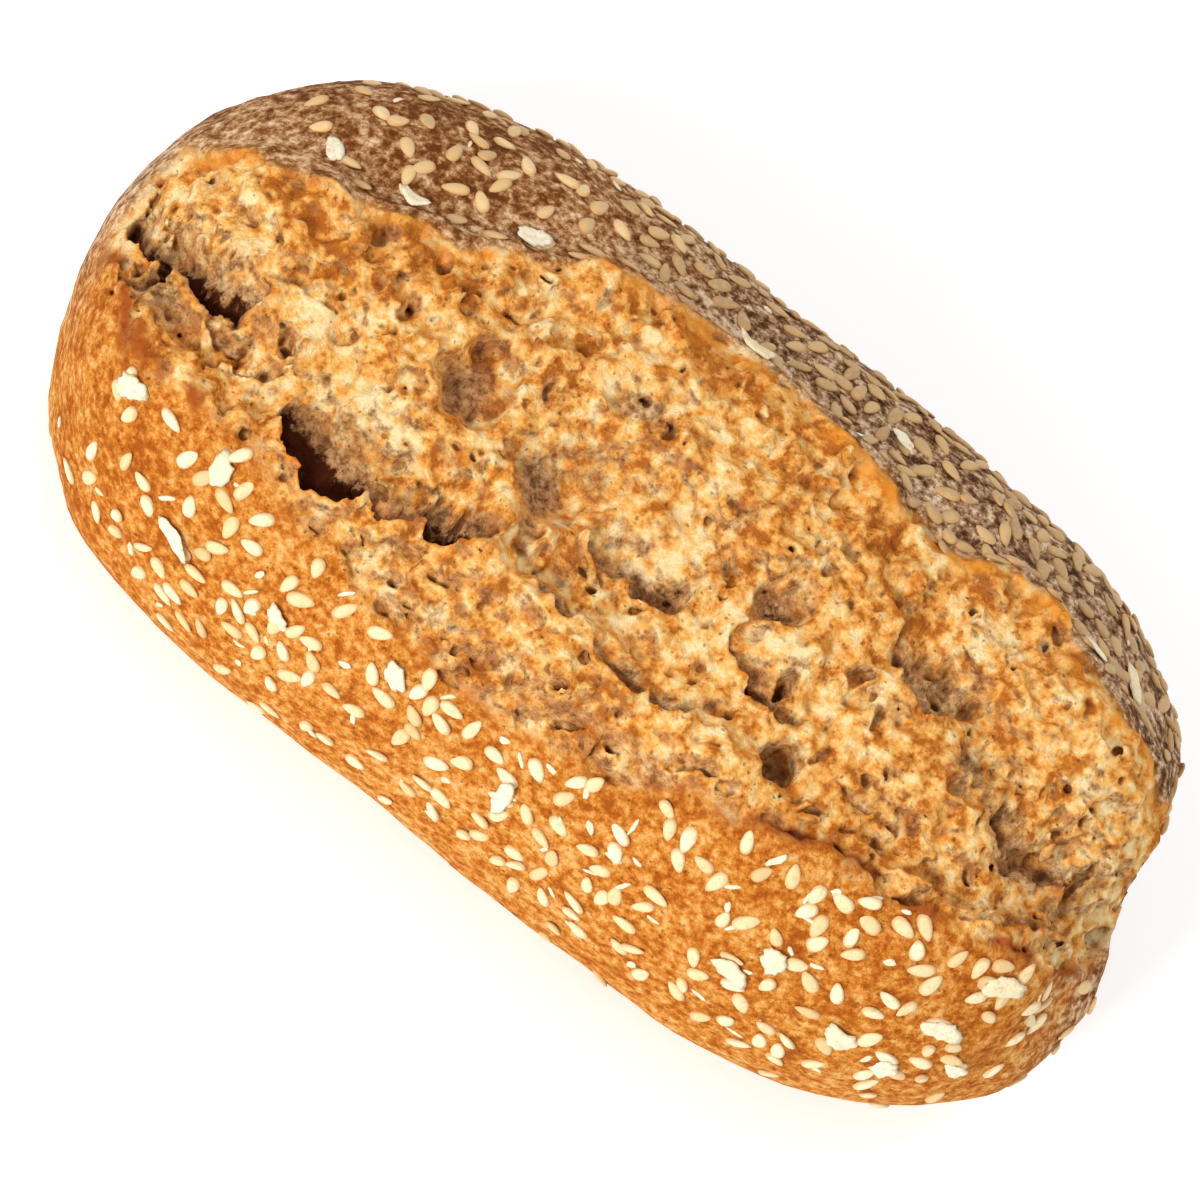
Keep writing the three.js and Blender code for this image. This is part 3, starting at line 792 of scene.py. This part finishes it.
# where the crust and the crumb change colour, in millimetres along, across and up
tint = {
    "lipBand": (0.7, 1.2), "lipHeights": (38, 46), "lipShare": 0.8,
    "charBand": (0.3, 1.9), "charLeft": (-56, -62), "charRight": (26, 40),
    "charLeast": 0.35, "charShare": 0.95,
    "dullFrom": (-16, 5), "dullLeft": (-40, 0, 0.72, 0.28), "tipsFrom": (80, 88), "tipShare": 0.85,
    "paintedShadeSlope": (0.25, -0.45, 0.4), "paintedWarmSlope": (0.2, 0.6, 0.9),
    "paleRim": (24, 8, 1.1),
}


def bodyAttributes():
    def here(values):
        return loaf.sample(values, bodyPoints)

    x, y, z = bodyPoints.T
    wobble = here(loaf.noise(2.4, 77))
    front, back, u = here(beyondFront), here(beforeBack), here(planU)
    high = smooth(30, 36, z)
    share = here(tornPlan) * high
    ends = (1 - smooth(82, 88, np.abs(x))) * high
    lip = bell(back, *tint["lipBand"]) * smooth(-1.0, 1.2, wobble) * smooth(*tint["lipHeights"], z)
    sides = smooth(*tint["charLeft"], u) + smooth(*tint["charRight"], u)
    char = bell(front, *tint["charBand"]) * smooth(-1.0, 0.8, wobble)
    char = char * (tint["charLeast"] + (1 - tint["charLeast"]) * sides)
    tips = smooth(*tint["tipsFrom"], np.abs(x) + 2 * wobble) * smooth(-30, -6, y)
    # the far side and the tips get the dull ramp; on the far side it is partly painted shade
    leftFrom, leftTo, least, more = tint["dullLeft"]
    dullAndShaded = smooth(*tint["dullFrom"], y + 3 * wobble) * (least + more * smooth(leftFrom, leftTo, x))
    dullAndShaded = np.maximum(dullAndShaded, tint["tipShare"] * tips)
    normals = outward(loaf.distance, bodyPoints, 0.6)
    slopeFrom, slopeTo, most = tint["paintedShadeSlope"]    # slopes to the front and down get painted grey-brown shade
    shaded = most * smooth(slopeFrom, slopeTo, normals @ viewAxes()[1])
    shaded = np.maximum(here(paintedShade), shaded)
    slopeFrom, slopeTo, most = tint["paintedWarmSlope"]    # and slopes to the back get painted warm orange, as if lit, where the key light misses them
    toasted = most * smooth(slopeFrom, slopeTo, normals[:, 1]) * (1 - smooth(0.3, 0.7, shaded))
    # the edge value carries real toasted rims together with the painted orange on back slopes
    toasted = np.maximum(here(edge), toasted)
    rimFrom, rimTo, paler = tint["paleRim"]
    return {
        "crumb": share, "paintedShade": shaded * share, "edge": toasted * share, "dullAndShaded": dullAndShaded,
        "lip": lip * ends * tint["lipShare"], "char": char * ends * tint["charShare"],
        # painted shade in crevices, darker where solid closes round the point
        "tone": here(tone) + paler * smooth(rimFrom, rimTo, z), "creviceShade": here(localShare(solidShare, 1.0)),
    }


report("finishes")
body = meshObject("crustAndCrumb", bodyPoints, bodyFaces, bodyAttributes(), breadMaterial())
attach(body, "root")
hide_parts("loaf")


# Seeds and flakes
scattered = {"seed": 9, "candidates": 80000}    # the random seed, and how many places are tried

# sizes in millimetres; lift is how high the middle lies: a share of the thickness, and a height
sesame = {
    "front": 210, "back": 350, "gap": 2.6,
    "long": (3.3, 4.3), "wide": (2, 2.5), "thick": (0.85, 1.1), "lift": (0.12, 0),
    "paintedBackShade": 0.75,    # how much darker the seeds behind the lip are painted, as shade
}
flake = {"long": (4.6, 7.6), "wide": (2.6, 4), "thick": (0.5, 0.8), "lift": (0.5, 0.2), "paintedBackShade": 0}
scrap = {
    "count": 90, "gap": 3,
    "long": (1.5, 3.6), "wide": (0.6, 1.2), "thick": (0.3, 0.5), "lift": (0.3, 0), "paintedBackShade": 0,
}

# where the large flakes lie: along and across the loaf, and height
flakePlaces = [
    (-52.5, -37, 49), (-53, -42, 39), (-35.5, -44, 40), (-68, -33, 48), (-15, -42, 45), (5.5, -45, 38),
    (48, -41, 44), (46, -43, 40), (70, -38, 34), (74, -25.5, 49), (72, -33, 43), (62, -41, 36),
    (78, -32, 33), (-69, 9.6, 58), (67.5, 22.4, 55), (58, 22.5, 58), (-5, 26, 60), (-39.5, 17, 62),
    (-55, 9.5, 61), (20, 32, 57),
]

seedTones = {
    "seed": [(0, (0.34, 0.205, 0.095)), (0.18, (0.52, 0.33, 0.15)), (0.4, (0.74, 0.51, 0.24)),
             (0.7, (0.83, 0.66, 0.38)), (1, (0.87, 0.76, 0.51))],
    "seedEdge": (0.56, 0.3, 0.095), "seedStreak": (0.66, 0.42, 0.17),
    "flake": [(0, (0.66, 0.44, 0.2)), (0.3, (0.82, 0.68, 0.43)), (1, (0.89, 0.8, 0.6))],
    "flakeVein": (0.6, 0.38, 0.15),
}


def seedMaterial():
    material, tree = newMaterial("sesameSeed")
    coords = objectCoords(tree)
    colour = rampNode(tree, attributeNode(tree, "tone"), seedTones["seed"])
    streak = stepNode(tree, noiseNode(tree, coords, 0.8, 3.0, 0.6), 0.48, 0.66, 0, 0.5)
    colour = mixColour(tree, streak, colour, seedTones["seedStreak"])
    rim = stepNode(tree, attributeNode(tree, "rim"), 0.62, 0.98, 0, 0.65)
    colour = mixColour(tree, rim, colour, seedTones["seedEdge"])
    finishShader(tree, colour, noiseNode(tree, coords, 0.5, 3.0, 0.6), 0.15, 0.5, 0.3)
    return material


def flakeMaterial():
    material, tree = newMaterial("oatFlake")
    coords = objectCoords(tree)
    colour = rampNode(tree, attributeNode(tree, "tone"), seedTones["flake"])
    veins = noiseNode(tree, coords, 1.1, 4.0, 0.65, 0.8)
    colour = mixColour(tree, stepNode(tree, veins, 0.52, 0.70, 0, 0.6), colour, seedTones["flakeVein"])
    finishShader(tree, colour, veins, 0.35, 0.75, 0.2)
    return material


def evenPoints(random):
    # points all over the body in a random order, each standing for the same area
    a, b, c = (bodyPoints[bodyFaces[:, k]] for k in range(3))
    area = np.linalg.norm(np.cross(b - a, c - a), axis=1)
    chosen = random.choice(len(bodyFaces), scattered["candidates"], p=area / area.sum())
    low, high = np.sort(random.random((2, len(chosen), 1)), axis=0)
    return a[chosen] * low + b[chosen] * (high - low) + c[chosen] * (1 - high)


def crustPlaces(count, gap, random, wanted):
    # the first wanted points with a gap between them
    points = evenPoints(random)
    points = points[random.random(len(points)) < wanted(points)]
    places = points[:1]
    for point in points:
        if len(places) < count and np.linalg.norm(places - point, axis=1).min() >= gap:
            places = np.vstack([places, point])
    return places


def frontWanted(points):
    x, y, z = points.T
    u, v = pictured(points)
    below = easedLine(tornEdge["front"], u) - v
    band = smooth(0.8, 2.4, below) * smooth(10, 22, z) * (y < 0)
    along = 0.30 + 0.70 * smooth(-70, -50, x) + 0.5 * bell(x, 36, 14) * smooth(38, 30, z)
    along *= smooth(-78, -70, x) * (1 - 0.8 * smooth(66, 82, x))
    return np.clip(band * along * (1 - 0.75 * (1 - smooth(18, 30, z))), 0, 1)


def backWanted(points):
    x, y, z = points.T
    beyond = y - easedLine(tear["lipLine"], x)
    band = smooth(0.6, 1.8, beyond) * (0.12 * smooth(10, 24, z) + 0.88 * smooth(30, 46, z)) * (y > 0)
    along = smooth(-82, -62, x) * (0.20 + 0.32 * smooth(-50, -22, x) + 0.48 * smooth(-4, 14, x))
    return band * along * (1 - 0.9 * smooth(72, 82, x))


def eitherBand(points):
    return frontWanted(points) * 0.8 + backWanted(points) * 0.3


def ringBody(rings, firstPole, lastPole):
    # a closed body of rings of points that follow each other between two poles
    count, sides, _ = rings.shape
    points = np.concatenate([[firstPole], rings.reshape(-1, 3), [lastPole]])
    last = len(points) - 1
    faces = []
    for j in range(sides):
        k = (j + 1) % sides
        faces += [(0, 1 + j, 1 + k), (last, last - sides + k, last - sides + j)]
        for a, b in ((1 + i * sides + j, 1 + i * sides + k) for i in range(count - 1)):
            faces += [(a, a + sides, b), (b, a + sides, b + sides)]
    return points, np.array(faces)


def seedTemplate(rings=8, sides=12):
    down, turn = np.meshgrid(np.linspace(0, math.pi, rings + 1)[1:-1], turns(sides), indexing="ij")
    along = np.cos(down) * 0.5
    ring = np.sin(down) ** 0.85 * (1 - 0.5 * (along + 0.5) ** 1.6) * 0.56    # slim at one end
    shell = np.stack([along, ring * np.cos(turn), ring * np.sin(turn)], axis=-1)
    return ringBody(shell, (0.5, 0, 0), (-0.5, 0, 0))


def flakeTemplate(rings=4, sides=22):
    steps = np.array([*range(1, rings + 1), *range(rings - 1, 0, -1)])
    reach, turn = np.meshgrid(steps / rings, turns(sides), indexing="ij")
    thick = 0.5 * np.sqrt(1 - reach ** 4)
    thick[rings:] *= -1
    shell = np.stack([0.5 * reach * np.cos(turn), 0.5 * reach * np.sin(turn), thick], axis=-1)
    return ringBody(shell, (0, 0, 0.5), (0, 0, -0.5))


def raggedFlake(local, random):
    count, size, _ = local.shape
    angle = np.arctan2(local[..., 1], local[..., 0])
    edge = np.ones((count, size))
    for waves in (2, 3, 5, 7, 10):
        height = random.uniform(0.04, 0.13, (count, 1)) / waves ** 0.2
        edge += height * np.cos(waves * angle + random.uniform(0, 6.28, (count, 1)))
    local[..., :2] *= edge[..., None]
    curl = random.normal(0, 0.05, (count, 1))
    fold = random.uniform(0.05, 0.2, (count, 1))
    local[..., 2] += curl * local[..., 0] ** 2 - fold * bell(local[..., 1], 0, 0.4)
    return local


def scatter(name, kind, template, spots, random, material, warp=None):
    points, faces = template
    count = len(spots)
    sizes = np.stack([random.uniform(*kind[key], count) for key in ("long", "wide", "thick")], axis=-1)
    lift = sizes[:, 2] * kind["lift"][0] + kind["lift"][1]
    spots = np.array(spots)
    normals = outward(envelope, spots)
    spin = random.uniform(0, 2 * math.pi, count)
    helper = np.where(np.abs(normals[:, [0]]) < 0.8, [[1.0, 0, 0]], [[0, 1.0, 0]])
    first = unit(np.cross(normals, helper))
    second = np.cross(normals, first)
    along = first * np.cos(spin)[:, None] + second * np.sin(spin)[:, None]
    along = unit(along + normals * random.normal(0, 0.12, (count, 1)))
    across = unit(np.cross(normals, along) + normals * random.normal(0, 0.14, (count, 1)))
    up = np.cross(along, across)
    local = points * sizes[:, None]
    if warp is not None:
        local = warp(local, random)
    world = (spots[:, None] + local[..., [0]] * along[:, None] + local[..., [1]] * across[:, None]
             + (local[..., [2]] + lift[:, None, None]) * up[:, None])
    allFaces = faces + (np.arange(count) * len(points))[:, None, None]
    behind = (spots[:, 1] > 0) * (0.6 + 0.4 * smooth(-45, -5, spots[:, 0]))    # painted shade on seeds behind the lip, stronger to the right
    tone = random.uniform(0.25, 1, count) ** 0.8 * (1 - kind["paintedBackShade"] * behind)
    tone = np.repeat(tone, len(points))
    rim = np.tile(np.hypot(points[:, 0] * 2, points[:, 1] * 2), count)
    piece = meshObject(name, world.reshape(-1, 3), allFaces.reshape(-1, faces.shape[1]),
                       {"tone": tone, "rim": rim}, material)
    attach(piece, "root")
    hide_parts("loaf")
    return piece


report("seeds and flakes")
random = np.random.default_rng(scattered["seed"])
seedSpots = np.concatenate([crustPlaces(sesame["front"], sesame["gap"], random, frontWanted),
                            crustPlaces(sesame["back"], sesame["gap"], random, backWanted)])
scatter("sesameSeeds", sesame, seedTemplate(), seedSpots, random, seedMaterial())
flakeFinish = flakeMaterial()
flakeSpots = [bodyPoints[np.argmin(np.linalg.norm(bodyPoints - place, axis=1))] for place in flakePlaces]
scatter("oatFlakes", flake, flakeTemplate(), flakeSpots, random, flakeFinish, raggedFlake)
scrapSpots = crustPlaces(scrap["count"], scrap["gap"], random, eitherBand)
scatter("oatScraps", scrap, flakeTemplate(3, 9), scrapSpots, random, flakeFinish, raggedFlake)
report(f"{len(seedSpots)} seeds, {len(flakeSpots)} flakes, {len(scrapSpots)} scraps")


# Floor, light and camera
studio = {
    "floor": (0.93, 0.935, 0.94), "floorSize": 3,
    "skyColour": (1, 1, 1), "skyStrength": 0.66,
    "floorGlow": 0.2,    # the table shines a little
    "lampTarget": 30,    # the lamps point this high above the table
}

lamps = {
    "key": {"from": (-0.3, -0.92, 0.62), "away": 1, "size": 0.34, "power": 7.9, "colour": (1, 0.98, 0.95)},
    "top": {"from": (0.1, 0.55, 1), "away": 1.2, "size": 0.9, "power": 4.6, "colour": (1, 1, 1)},
}


def floorPiece():
    half = studio["floorSize"] / 2 / mm
    points = np.array([(-half, -half, 0), (half, -half, 0), (half, half, 0), (-half, half, 0)])
    material, tree = newMaterial("paleFloor")
    patches = noiseNode(tree, objectCoords(tree), 60.0, 2.0, 0.5)
    darker = tuple(c * 0.985 for c in studio["floor"])
    tones = rampNode(tree, patches, [(0.3, studio["floor"]), (0.7, darker)])
    shader = finishShader(tree, tones, None, 0, 0.7, 0.1)
    feed(tree, shader.inputs["Emission Color"], (1, 1, 1))
    feed(tree, shader.inputs["Emission Strength"], studio["floorGlow"])
    meshObject("floor", points, np.array([[0, 1, 2, 3]]), {}, material)


def softBox(name, made):
    lamp = bpy.data.lights.new(name + "Light", "AREA")
    lamp.shape = "SQUARE"
    lamp.size = made["size"]
    lamp.energy = made["power"]
    lamp.color = made["colour"]
    holder = inScene(name + "Light", lamp)
    direction = np.array(made["from"]) / np.linalg.norm(made["from"])
    holder.location = direction * made["away"] + [0, 0, studio["lampTarget"] * mm]
    holder.rotation_euler = Vector(-direction).to_track_quat("-Z", "Y").to_euler()


def sky():
    world = bpy.data.worlds.new("studioSky")
    world.use_nodes = True
    background = world.node_tree.nodes["Background"].inputs
    feed(world.node_tree, background["Color"], studio["skyColour"])
    feed(world.node_tree, background["Strength"], studio["skyStrength"])
    bpy.context.scene.world = world


def photoCamera():
    camera = bpy.data.cameras.new("photoCamera")
    camera.sensor_width = 36
    camera.lens = camera.sensor_width * view["distance"] / view["frameWidth"]
    camera.dof.use_dof = False
    along, across, back = viewAxes()
    roll = math.radians(view["roll"])
    right = along * math.cos(roll) + across * math.sin(roll)
    up = across * math.cos(roll) - along * math.sin(roll)
    place = np.array(view["centre"]) + view["shift"][0] * along + view["shift"][1] * across
    place += view["distance"] * back
    columns = np.stack([right, up, back, place * mm], axis=1)
    holder = inScene("photoCamera", camera)
    holder.matrix_world = Matrix([*columns.tolist(), (0, 0, 0, 1)])
    bpy.context.scene.camera = holder


report("floor, light and camera")
floorPiece()
for lampName, lampKind in lamps.items():
    softBox(lampName, lampKind)
sky()
photoCamera()
bpy.context.scene.view_settings.view_transform = "Standard"
bpy.context.scene.view_settings.look = "None"
